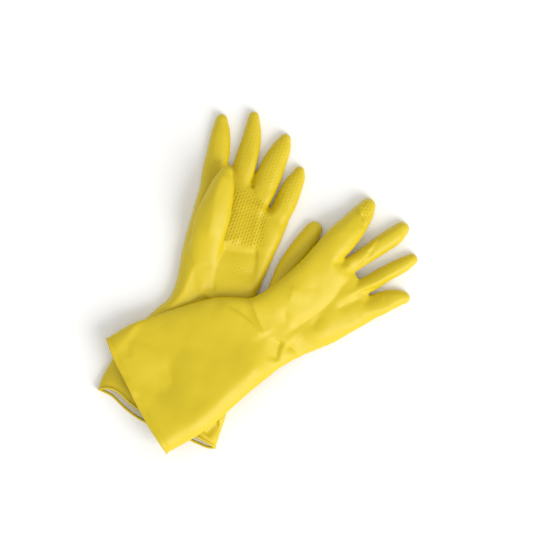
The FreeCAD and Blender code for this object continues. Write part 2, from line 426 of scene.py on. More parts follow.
def blend_fields(a: np.ndarray, b: np.ndarray, ease: np.ndarray) -> np.ndarray:
    """Join two fields with a fillet of about ease millimetres."""
    h = np.clip(ease - np.abs(a - b), 0, None)
    return np.minimum(a, b) - h * h / (4 * np.maximum(ease, 1e-6))


def evened(field: np.ndarray) -> np.ndarray:
    """Scale a field so that it counts millimetres near its zero surface."""
    slope = np.sqrt(sum(part ** 2 for part in np.gradient(field, VOXEL)))
    return field / np.maximum(slope, LEAST_SLOPE)


def film_mesh(field: np.ndarray, grid: Grid) -> tuple[np.ndarray, np.ndarray]:
    """Mesh the zero surface of a field.

    Args:
        field: the field over the grid.
        grid: the block of space.

    Returns:
        Points in millimetres and four-cornered faces, with faces pointing outwards.
    """
    volume = openvdb.FloatGrid(BAND)
    volume.copyFromArray(np.clip(field, -BAND, BAND).astype(np.float32))
    points, faces = volume.convertToQuads(isovalue=0.0)
    points = np.asarray(points, float) * VOXEL + np.array([grid.x0, grid.y0, grid.z0])
    faces = np.asarray(faces)
    a, b, c, d = (points[faces[:, k]] for k in range(4))
    volume_sign = np.einsum("ij,ij->i", a, np.cross(b, c) + np.cross(c, d)).sum()
    return points, faces if volume_sign > 0 else faces[:, ::-1]


@dataclass(frozen=True)
class Placement:
    """Where a glove lies: its mouth's centre and the bearing of its length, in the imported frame."""

    x: float
    y: float
    bearing: float

    def matrix(self) -> Matrix:
        """Glove millimetres to frame metres."""
        turn = Matrix.Rotation(math.radians(self.bearing - 90.0), 4, "Z")
        return Matrix.Translation((self.x * MM, self.y * MM, 0.0)) @ turn @ Matrix.Diagonal((MM, MM, MM, 1.0))

    def point(self, x: float, y: float, z: float) -> Vector:
        """A glove position in frame metres."""
        return self.matrix() @ Vector((x, y, z))


def new_object(name: str, data: bpy.types.ID) -> bpy.types.Object:
    """Put a mesh, a lamp or a camera in the scene."""
    obj = bpy.data.objects.new(name, data)
    bpy.context.scene.collection.objects.link(obj)
    return obj


def mesh_from(name: str, points: np.ndarray, faces: list) -> bpy.types.Mesh:
    """Make a smooth-shaded mesh."""
    mesh = bpy.data.meshes.new(name)
    mesh.from_pydata(points.tolist(), [], faces)
    mesh.update()
    mesh.polygons.foreach_set("use_smooth", [True] * len(mesh.polygons))
    return mesh


def face_outwards(obj: bpy.types.Object) -> None:
    """Turn every face of a closed mesh outwards."""
    mesh = bmesh.new()
    mesh.from_mesh(obj.data)
    bmesh.ops.recalc_face_normals(mesh, faces=mesh.faces[:])
    mesh.to_mesh(obj.data)
    mesh.free()


def eased(points: np.ndarray, faces: np.ndarray, passes: int) -> np.ndarray:
    """Relax a four-cornered mesh towards the middle of each point's neighbours.

    Args:
        points: the mesh's points.
        faces: the mesh's faces.
        passes: how many times to relax it.

    Returns:
        The moved points.
    """
    start = faces.ravel()
    end = np.roll(faces, -1, axis=1).ravel()
    count = np.bincount(start, minlength=len(points))[:, None]
    for _ in range(passes):
        total = np.stack([np.bincount(start, points[end, k], len(points)) for k in range(3)], axis=1)
        points = 0.5 * points + 0.5 * total / count
    return points


@dataclass
class Film:
    """A film of no thickness: points, outward normals, faces and the faces' centres, in glove millimetres."""

    points: np.ndarray
    normals: np.ndarray
    faces: list[np.ndarray]
    centres: np.ndarray

    @classmethod
    def read(cls, mesh: bpy.types.Mesh) -> "Film":
        """Take a mesh's arrays."""
        points = np.empty(len(mesh.vertices) * 3)
        mesh.vertices.foreach_get("co", points)
        normals = np.empty(len(mesh.vertices) * 3)
        mesh.vertex_normals.foreach_get("vector", normals)
        corners = np.empty(len(mesh.loops), int)
        mesh.loops.foreach_get("vertex_index", corners)
        sizes = np.empty(len(mesh.polygons), int)
        mesh.polygons.foreach_get("loop_total", sizes)
        centres = np.empty(len(mesh.polygons) * 3)
        mesh.polygons.foreach_get("center", centres)
        faces = np.split(corners, np.cumsum(sizes)[:-1])
        return cls(points.reshape(-1, 3), normals.reshape(-1, 3), faces, centres.reshape(-1, 3))

    def open_edges(self, chosen: np.ndarray) -> np.ndarray:
        """Edges that only one of the chosen faces has, in that face's direction."""
        faces = [self.faces[i] for i in np.flatnonzero(chosen)]
        start = np.concatenate(faces)
        end = np.concatenate([np.roll(face, -1) for face in faces])
        size = len(self.points)
        forward, back = start * size + end, end * size + start
        alone = ~np.isin(forward, back)
        return np.stack([start[alone], end[alone]], axis=1)

    def rim(self) -> np.ndarray:
        """Walk round the open edge in even steps."""
        edges = self.open_edges(np.ones(len(self.faces), bool))
        following = dict(edges.tolist())
        walk = [int(edges[0, 0])]
        while following[walk[-1]] != walk[0]:
            walk.append(following[walk[-1]])
        closed = self.points[walk + walk[:1]]
        run = np.concatenate([[0.0], np.cumsum(np.linalg.norm(np.diff(closed, axis=0), axis=1))])
        even = np.linspace(0, run[-1], RIM_STEPS, endpoint=False)
        points = np.stack([np.interp(even, run, closed[:, k]) for k in range(3)], axis=1)
        for _ in range(RIM_PASSES):
            points = (2 * points + np.roll(points, 1, axis=0) + np.roll(points, -1, axis=0)) / 4
        return points

    def walled(self, name: str, chosen: np.ndarray, depth: float, wall: float,
               place: "Placement") -> bpy.types.Object:
        """Make a closed sheet under some of the faces.

        Args:
            name: the new object's name.
            chosen: True for each face to cover.
            depth: how far under the film its outer side lies.
            wall: its thickness.
            place: where the glove lies.

        Returns:
            The new object, in frame metres.
        """
        faces = [self.faces[i] for i in np.flatnonzero(chosen)]
        used = np.unique(np.concatenate(faces))
        number = np.full(len(self.points), -1)
        number[used] = np.arange(len(used))
        outer = self.points[used] - self.normals[used] * depth
        inner = outer - self.normals[used] * wall
        count = len(used)
        sheet = [number[face] for face in faces]
        sides = [(number[a], number[a] + count, number[b] + count, number[b])
                 for a, b in self.open_edges(chosen)]
        all_faces = [f.tolist() for f in sheet] + [(f[::-1] + count).tolist() for f in sheet] + sides
        mesh = mesh_from(name, np.vstack([outer, inner]), all_faces)
        mesh.transform(place.matrix())
        turn = np.array(place.matrix().to_3x3()) / MM
        normals = np.vstack([self.normals[used], -self.normals[used]]) @ turn.T
        mesh.normals_split_custom_set_from_vertices(normals.tolist())
        return new_object(name, mesh)


# --- Finishes -----------------------------------------------------------------------------------------------


class NodeTree:
    """A short way to write a shader tree."""

    def __init__(self, tree: bpy.types.NodeTree) -> None:
        """Start on an empty tree."""
        self.tree = tree
        tree.nodes.clear()

    def node(self, kind: str, **values) -> bpy.types.Node:
        """Add a node and set its properties or inputs by name."""
        made = self.tree.nodes.new(kind)
        for key, value in values.items():
            if hasattr(made, key):
                setattr(made, key, value)
            else:
                made.inputs[key.replace("_", " ")].default_value = value
        return made

    def link(self, out: bpy.types.NodeSocket, into: bpy.types.NodeSocket) -> None:
        """Join two sockets."""
        self.tree.links.new(out, into)


def mottle_group() -> bpy.types.NodeTree:
    """Build the shared unevenness of rubber and flock.

    Returns:
        A group that turns two colours and a pitch into a mottled colour and a height.
    """
    group = bpy.data.node_groups.new("mottle", "ShaderNodeTree")
    for name, kind in (("Low Colour", "NodeSocketColor"), ("High Colour", "NodeSocketColor"),
                       ("Patch Scale", "NodeSocketFloat"), ("Grain Scale", "NodeSocketFloat")):
        group.interface.new_socket(name, in_out="INPUT", socket_type=kind)
    for name, kind in (("Colour", "NodeSocketColor"), ("Height", "NodeSocketFloat")):
        group.interface.new_socket(name, in_out="OUTPUT", socket_type=kind)
    build = NodeTree(group)
    inputs, outputs = build.node("NodeGroupInput"), build.node("NodeGroupOutput")
    place = build.node("ShaderNodeTexCoord")
    patch = build.node("ShaderNodeTexNoise", Detail=3.0, Roughness=0.55)
    grain = build.node("ShaderNodeTexNoise", Detail=2.0, Roughness=0.6)
    mix = build.node("ShaderNodeMix", data_type="RGBA")
    build.link(place.outputs["Object"], patch.inputs["Vector"])
    build.link(place.outputs["Object"], grain.inputs["Vector"])
    build.link(inputs.outputs["Patch Scale"], patch.inputs["Scale"])
    build.link(inputs.outputs["Grain Scale"], grain.inputs["Scale"])
    build.link(patch.outputs["Fac"], mix.inputs["Factor"])
    build.link(inputs.outputs["Low Colour"], mix.inputs["A"])
    build.link(inputs.outputs["High Colour"], mix.inputs["B"])
    build.link(mix.outputs["Result"], outputs.inputs["Colour"])
    build.link(grain.outputs["Fac"], outputs.inputs["Height"])
    return group


@dataclass(frozen=True)
class Finish:
    """One material: two close colours that mottle into each other, a grain, and how it takes light."""

    name: str
    low: tuple[float, float, float]
    high: tuple[float, float, float]
    roughness: float
    patch_scale: float
    grain_scale: float
    bump: float
    specular: float = 0.5
    sheen: float = 0.0

    def make(self, mottle: bpy.types.NodeTree) -> bpy.types.Material:
        """Build the material.

        Args:
            mottle: the shared group of unevenness.

        Returns:
            The new material.
        """
        material = bpy.data.materials.new(self.name)
        material.use_nodes = True
        build = NodeTree(material.node_tree)
        shader = build.node("ShaderNodeBsdfPrincipled", Roughness=self.roughness)
        shader.inputs["Specular IOR Level"].default_value = self.specular
        shader.inputs["Sheen Weight"].default_value = self.sheen
        uneven = build.node("ShaderNodeGroup", node_tree=mottle)
        for socket, value in (("Low Colour", (*self.low, 1.0)), ("High Colour", (*self.high, 1.0)),
                              ("Patch Scale", self.patch_scale), ("Grain Scale", self.grain_scale)):
            uneven.inputs[socket].default_value = value
        bump = build.node("ShaderNodeBump", Strength=self.bump, Distance=0.0002)
        out = build.node("ShaderNodeOutputMaterial")
        build.link(uneven.outputs["Colour"], shader.inputs["Base Color"])
        build.link(uneven.outputs["Height"], bump.inputs["Height"])
        build.link(bump.outputs["Normal"], shader.inputs["Normal"])
        build.link(shader.outputs["BSDF"], out.inputs["Surface"])
        return material


RUBBER = Finish("yellow_rubber_film", (0.68, 0.512, 0.001), (0.71, 0.545, 0.002), 0.5, 45.0, 2600.0, 0.25,
                specular=0.6)
FLOCKING = Finish("off_white_flock", (0.62, 0.57, 0.44), (0.74, 0.69, 0.56), 0.95, 300.0, 5200.0, 0.9,
                  specular=0.15, sheen=0.4)


# --- Grip ---------------------------------------------------------------------------------------------------


@dataclass(frozen=True)
class GripPatch:
    """A stretch of raised lozenges: its corners in plan and how strongly they stand out.

    soft is how far inside the patch's edge the lozenges reach their full size, and edge their share of it at
    the edge itself. A thumb that lies over a patch carries none of it.
    """

    corners: Points
    strength: float
    soft: float = 6.0
    edge: float = 0.35

    def share(self, x: np.ndarray, y: np.ndarray) -> np.ndarray:
        """How strongly the lozenges at these places stand out, 0 outside the patch."""
        ring = np.array(self.corners + self.corners[:1], float)
        inside = np.zeros(x.shape, bool)
        for (ax, ay), (bx, by) in zip(ring[:-1], ring[1:]):
            crosses = (ay > y) != (by > y)
            inside ^= crosses & (x < ax + (y - ay) * (bx - ax) / (by - ay + 1e-9))
        rise = smoothstep(nearest(ring, x, y).distance, 0.0, self.soft)
        return self.strength * inside * (self.edge + (1 - self.edge) * rise)


class GripTree:
    """Geometry nodes that stand a low lozenge on every point of a mesh."""

    SIZES = {"Width": 2.4 * MM, "Length": 3.5 * MM, "Height": 0.85 * MM}

    def __init__(self) -> None:
        """Write the tree."""
        self.tree = bpy.data.node_groups.new("grip_lozenges", "GeometryNodeTree")
        face = self.tree.interface
        face.new_socket("Geometry", in_out="INPUT", socket_type="NodeSocketGeometry")
        kinds = {**dict.fromkeys(self.SIZES, "Float"), "Along": "Vector", "Rubber": "Material"}
        self.sockets = {name: face.new_socket(name, in_out="INPUT", socket_type=f"NodeSocket{kind}").identifier
                        for name, kind in kinds.items()}
        face.new_socket("Geometry", in_out="OUTPUT", socket_type="NodeSocketGeometry")
        build = NodeTree(self.tree)
        inputs, outputs = build.node("NodeGroupInput"), build.node("NodeGroupOutput")
        lozenge = build.node("GeometryNodeMeshCone", Vertices=4)
        lozenge.inputs["Radius Bottom"].default_value = 0.5
        lozenge.inputs["Radius Top"].default_value = 0.27
        lozenge.inputs["Depth"].default_value = 1.0
        size = build.node("ShaderNodeCombineXYZ")
        facing = build.node("GeometryNodeInputNamedAttribute", data_type="FLOAT_VECTOR", Name="facing")
        strength = build.node("GeometryNodeInputNamedAttribute", data_type="FLOAT", Name="strength")
        scaled = build.node("ShaderNodeVectorMath", operation="SCALE")
        upright = build.node("FunctionNodeAlignRotationToVector", axis="Z")
        turned = build.node("FunctionNodeAlignRotationToVector", axis="Y", pivot_axis="Z")
        stand = build.node("GeometryNodeInstanceOnPoints")
        real = build.node("GeometryNodeRealizeInstances")
        coat = build.node("GeometryNodeSetMaterial")
        for name, axis in (("Width", "X"), ("Length", "Y"), ("Height", "Z")):
            build.link(inputs.outputs[name], size.inputs[axis])
        build.link(size.outputs["Vector"], scaled.inputs["Vector"])
        build.link(strength.outputs["Attribute"], scaled.inputs["Scale"])
        build.link(facing.outputs["Attribute"], upright.inputs["Vector"])
        build.link(upright.outputs["Rotation"], turned.inputs["Rotation"])
        build.link(inputs.outputs["Along"], turned.inputs["Vector"])
        build.link(inputs.outputs["Geometry"], stand.inputs["Points"])
        build.link(lozenge.outputs["Mesh"], stand.inputs["Instance"])
        build.link(turned.outputs["Rotation"], stand.inputs["Rotation"])
        build.link(scaled.outputs["Vector"], stand.inputs["Scale"])
        build.link(stand.outputs["Instances"], real.inputs["Geometry"])
        build.link(real.outputs["Geometry"], coat.inputs["Geometry"])
        build.link(inputs.outputs["Rubber"], coat.inputs["Material"])
        build.link(coat.outputs["Geometry"], outputs.inputs["Geometry"])

    def grow(self, name: str, points: np.ndarray, facing: np.ndarray, strength: np.ndarray, along: Vector,
             rubber: bpy.types.Material) -> bpy.types.Object:
        """Stand the lozenges.

        Args:
            name: the new object's name.
            points: where they stand, in frame metres.
            facing: which way each one points.
            strength: how strongly each one stands out, from 0 to 1.
            along: which way their long diagonal runs.
            rubber: their material.

        Returns:
            One plain mesh of all of them.
        """
        mesh = bpy.data.meshes.new(name)
        mesh.from_pydata(points.tolist(), [], [])
        mesh.attributes.new("facing", "FLOAT_VECTOR", "POINT").data.foreach_set("vector", facing.ravel())
        mesh.attributes.new("strength", "FLOAT", "POINT").data.foreach_set("value", strength)
        obj = new_object(name, mesh)
        modifier = obj.modifiers.new("grip", "NODES")
        modifier.node_group = self.tree
        for label, value in self.SIZES.items():
            modifier[self.sockets[label]] = value
        modifier[self.sockets["Along"]] = tuple(along)
        modifier[self.sockets["Rubber"]] = rubber
        bpy.context.view_layer.update()
        made = bpy.data.meshes.new_from_object(obj.evaluated_get(bpy.context.evaluated_depsgraph_get()))
        obj.modifiers.remove(modifier)
        obj.data = made
        made.name = name
        return obj


# --- The gloves ---------------------------------------------------------------------------------------------


@dataclass(frozen=True)
class Mouth:
    """The open edge: rows of (x, y) for the upper and the lower lip."""

    upper: Points
    lower: Points
    middle_z: float
    half_z: float

    def line(self, x: np.ndarray, z: np.ndarray) -> np.ndarray:
        """How far up the glove the edge lies at each x and z."""
        up, low = spline(self.upper), spline(self.lower)
        top = np.interp(x, up[:, 0], up[:, 1])
        bottom = np.interp(x, low[:, 0], low[:, 1])
        share = smoothstep((z - self.middle_z) / self.half_z, -LIP_EASE, LIP_EASE)
        return bottom + (top - bottom) * share


@dataclass
class Glove:
    """One glove: its plan, its folds and what it turns into.

    thumb_heights are the heights between which the thumb's own faces lie, and fillet the places along the
    glove between which the thumb comes free of the palm. root is the body of the mouth; holder names a body
    for the digits, which nothing here reads; wrist gives two places that are only turned into frame positions.
    """

    side: str
    place: Placement
    hand: Hand
    fingers: list[Digit]
    thumb: Digit
    folds: list[Fold]
    thumb_folds: list[Fold]
    dimples: list[Dimple]
    mouth: Mouth
    grid: Grid
    seed: int
    root: str
    holder: str
    film_nodes: tuple[str, ...]
    lining_nodes: tuple[str, ...]
    thumb_heights: tuple[float, float]
    fillet: tuple[float, float]
    grip: tuple[GripPatch, ...]
    grip_bearing: float
    wrist: Optional[tuple[tuple[float, float, float], tuple[float, float, float]]] = None

    def grow(self) -> tuple[np.ndarray, np.ndarray]:
        """Grow the whole film as one closed bag.

        Returns:
            Its points and faces in glove millimetres.
        """
        xs, ys, _ = self.grid.axes()
        x, y = np.meshgrid(xs, ys, indexing="ij")
        sheets = [hand_sheet(self.hand, x, y)] + [digit_sheet(digit, x, y) for digit in self.fingers]
        square, middle = join(sheets, HAND_EASE, self.hand.drop)
        lift = sum(unevenness(x, y, self.seed + number, *roll) for number, roll in enumerate(ROLLS))
        groove = Fold(tuple((px, py + RIM_GROOVE) for px, py in self.mouth.upper), height=-0.8, left=1.2,
                      right=1.0, crisp=0.5, fade=(0.0, 0.0))
        for mark in self.folds + self.dimples + [groove]:
            lift = lift + mark.lift(x, y)
        main = solid_field(self.grid, square, middle, lift)
        square, middle = join([digit_sheet(self.thumb, x, y)], THUMB_EASE, THUMB_DROP)
        lift = sum((mark.lift(x, y) for mark in self.thumb_folds), np.zeros(x.shape))
        thumb = solid_field(self.grid, square, middle, lift)
        ease = THUMB_FILLET * (1 - smoothstep(y, *self.fillet))
        whole = blend_fields(main, thumb, ease[:, :, None] + np.zeros(main.shape))
        floor = self.grid.axes()[2][None, None, :]
        return film_mesh(evened(np.maximum(whole, FLOOR_GAP - floor)), self.grid)

    def open_mouth(self, mesh: bmesh.types.BMesh) -> None:
        """Cut the bag along the lips, and mark the line where the flock starts."""
        self.shift_along(mesh, -1.0)
        for place, clear in ((0.0, True), (FLOCK_START, False)):
            geometry = mesh.verts[:] + mesh.edges[:] + mesh.faces[:]
            bmesh.ops.bisect_plane(mesh, geom=geometry, plane_co=(0, place, 0), plane_no=(0, 1, 0),
                                   clear_inner=clear)
        self.shift_along(mesh, 1.0)

    @staticmethod
    def drop_specks(mesh: bmesh.types.BMesh) -> None:
        """Keep only the largest connected part."""
        unseen = set(mesh.verts)
        islands = []
        while unseen:
            island, edge = set(), {unseen.pop()}
            while edge:
                island |= edge
                unseen -= edge
                edge = {link.other_vert(vert) for vert in edge for link in vert.link_edges} & unseen
            islands.append(island)
        islands.sort(key=len)
        bmesh.ops.delete(mesh, geom=[vert for island in islands[:-1] for vert in island], context="VERTS")

    def shift_along(self, mesh: bmesh.types.BMesh, sign: float) -> None:
        """Slide every point along the glove by the lips' place: -1 makes the lips straight, 1 curved again."""
        points = np.array([v.co for v in mesh.verts])
        for vert, amount in zip(mesh.verts, sign * self.mouth.line(points[:, 0], points[:, 2])):
            vert.co.y += amount

    def beyond(self, digit: Digit, centres: np.ndarray, slack: float) -> np.ndarray:
        """Tell which places belong to a digit's own piece.

        Args:
            digit: the finger or thumb.
            centres: places in glove millimetres.
            slack: how far before the seam a place may lie.

        Returns:
            True for each place that does.
        """
        row, way = digit.point_from_tip(digit.seam)
        low, high = self.thumb_heights if digit is self.thumb else ANY_HEIGHT
        ahead = (centres[:, 0] - row[0]) * way[0] + (centres[:, 1] - row[1]) * way[1]
        own = (centres[:, 2] > low) & (centres[:, 2] < high) & (ahead > -slack)
        line = digit.line()
        gaps = np.hypot(line[:, None, 0] - centres[None, own, 0], line[:, None, 1] - centres[None, own, 1])
        index = gaps.argmin(axis=0)
        own[own] = gaps[index, np.arange(len(index))] < line[index, 3] + SEAM_MARGIN
        return own

    def cut_seam(self, mesh: bmesh.types.BMesh, digit: Digit) -> None:
        """Cut the ring where a digit's own piece of film starts."""
        row, way = digit.point_from_tip(digit.seam)
        mesh.faces.ensure_lookup_table()
        centres = np.array([face.calc_center_median() for face in mesh.faces])
        faces = [mesh.faces[i] for i in np.flatnonzero(self.beyond(digit, centres, SEAM_SLACK))]
        edges = dict.fromkeys(edge for face in faces for edge in face.edges)
        verts = dict.fromkeys(vert for face in faces for vert in face.verts)
        bmesh.ops.bisect_plane(mesh, geom=[*verts, *edges, *faces],
                               plane_co=(row[0], row[1], 0), plane_no=(way[0], way[1], 0))

    def build(self, rubber: bpy.types.Material, flock: bpy.types.Material, lozenges: GripTree) -> None:
        """Grow, cut, line and dress the glove.

        Args:
            rubber: material of the film and bead.
            flock: material of the lining.
            lozenges: the nodes that make the grip.
        """
        points, faces = self.grow()
        points = eased(points, faces, EASING_PASSES)
        mesh = bpy.data.meshes.new("film")
        mesh.from_pydata(points.tolist(), [], faces.tolist())
        work = bmesh.new()
        work.from_mesh(mesh)
        self.drop_specks(work)
        self.open_mouth(work)
        digits = self.fingers + [self.thumb]
        for digit in digits:
            self.cut_seam(work, digit)
        work.to_mesh(mesh)
        work.free()
        film = Film.read(mesh)
        bpy.data.meshes.remove(mesh)
        owner = np.zeros(len(film.faces), int)
        for number, digit in enumerate(digits, start=1):
            owner[self.beyond(digit, film.centres, 0.0)] = number
        self.make_bead(film, rubber)
        self.make_grip(film, rubber, lozenges)
        flocked = film.centres[:, 1] > self.mouth.line(film.centres[:, 0], film.centres[:, 2]) + FLOCK_START
        for number, digit in enumerate([None] + digits):
            label = digit.name if digit else "hand"
            shell, lining = self.film_nodes, self.lining_nodes
            if digit:
                shell, lining = (f"{self.side}_{label}_stall",), (f"{self.side}_{label}_lining",)
            own = owner == number
            name = f"{self.side}_{label}"
            outer = film.walled(f"{name}_film", own, 0.0, FILM, self.place)
            self.dress(outer, digit, rubber, shell)
            inner = film.walled(f"{name}_flock", own & flocked, FILM + FLOCK_GAP, FLOCK, self.place)
            self.dress(inner, digit, flock, lining)

    def dress(self, obj: bpy.types.Object, digit: Optional[Digit], material: bpy.types.Material,
              nodes: tuple[str, ...]) -> None:
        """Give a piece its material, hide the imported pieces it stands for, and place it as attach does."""
        obj.data.materials.append(material)
        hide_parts(*nodes)
        self.attach(obj, digit)
        log.info("%s: %d faces", obj.name, len(obj.data.polygons))

    def make_bead(self, film: "Film", rubber: bpy.types.Material) -> None:
        """Run the rolled bead round the open edge."""
        rim = film.rim()
        ahead = np.roll(rim, -1, axis=0) - np.roll(rim, 1, axis=0)
        ahead /= np.linalg.norm(ahead, axis=1)[:, None]
        out = np.cross(ahead, np.array([0.0, 1.0, 0.0]))
        out /= np.linalg.norm(out, axis=1)[:, None]
        up = np.cross(out, ahead)
        turns = np.arange(BEAD_SIDES) * 2 * math.pi / BEAD_SIDES
        centre = rim.copy()
        centre[:, 2] = np.maximum(centre[:, 2], BEAD_RADIUS)
        points = centre[:, None] + BEAD_RADIUS * (out[:, None] * np.cos(turns)[None, :, None]
                                                  + up[:, None] * np.sin(turns)[None, :, None])
        count = len(rim)
        faces = [(i * BEAD_SIDES + k, (i + 1) % count * BEAD_SIDES + k,
                  (i + 1) % count * BEAD_SIDES + (k + 1) % BEAD_SIDES, i * BEAD_SIDES + (k + 1) % BEAD_SIDES)
                 for i in range(count) for k in range(BEAD_SIDES)]
        name = f"{self.side}_rolled_bead"
        obj = new_object(name, mesh_from(name, points.reshape(-1, 3), faces))
        obj.data.transform(self.place.matrix())
        face_outwards(obj)
        obj.data.materials.append(rubber)
        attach(obj, self.root)
        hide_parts(f"{self.side}_cuff_bead")

    def make_grip(self, film: "Film", rubber: bpy.types.Material, lozenges: GripTree) -> None:
        """Stand the grip's lozenges on the upper film, one mesh for the hand and one for each finger."""
        turn = math.radians(self.grip_bearing)
        rows = np.arange(-GRIP_ROWS, GRIP_ROWS + 1)
        i, j = np.meshgrid(rows, rows)
        across = (i * GRIP_PITCH[0] + (j % 2) * GRIP_PITCH[0] / 2).ravel()
        along = (j * GRIP_PITCH[1]).ravel()
        x = GRIP_CENTRE[0] + across * math.cos(turn) - along * math.sin(turn)
        y = GRIP_CENTRE[1] + across * math.sin(turn) + along * math.cos(turn)
        surface = BVHTree.FromPolygons(film.points.tolist(), [face.tolist() for face in film.faces])
        digits = self.fingers + [self.thumb]
        spots = []
        for patch in self.grip:
            share = patch.share(x, y)
            for k in np.flatnonzero(share > GRIP_LEAST):
                hit, normal, _, _ = surface.ray_cast(Vector((x[k], y[k], GRIP_ABOVE)), Vector((0.0, 0.0, -1.0)))
                if hit is not None and normal.z > GRIP_FLATNESS:
                    spots.append((*(hit - normal * GRIP_SINK), *normal, share[k]))
        spots = np.array(spots)
        owner = np.zeros(len(spots), int)
        for number, digit in enumerate(digits, start=1):
            owner[self.beyond(digit, spots[:, :3], 0.0)] = number
        matrix = self.place.matrix()
        turned = np.array(matrix.to_3x3()) / MM
        way = Vector(turned @ np.array([-math.sin(turn), math.cos(turn), 0.0]))
        for number, digit in enumerate([None] + self.fingers):
            own = spots[owner == number]
            if not len(own):
                continue
            points = own[:, :3] @ np.array(matrix.to_3x3()).T + np.array(matrix.translation)
            name = f"{self.side}_{digit.name if digit else 'hand'}_grip"
            obj = lozenges.grow(name, points, own[:, 3:6] @ turned.T, own[:, 6], way, rubber)
            self.attach(obj, digit)
            log.info("%s: %d lozenges", name, len(own))

    def attach(self, obj: bpy.types.Object, digit: Optional[Digit]) -> None:
        """Hang the hand piece on the mouth's body when the glove has no wrist; bake any other piece's
        placement.
        """
        if digit is None:
            if self.wrist:
                self.place.point(*self.wrist[0])
                self.place.point(*self.wrist[1])
                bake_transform(obj)
            else:
                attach(obj, self.root)
            return
        row, way = digit.point_from_tip(digit.fold)
        start, end = (self.place.point(*(row[:2] + way * reach), row[2] + row[4])
                      for reach in (-digit.reach, digit.reach))
        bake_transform(obj)


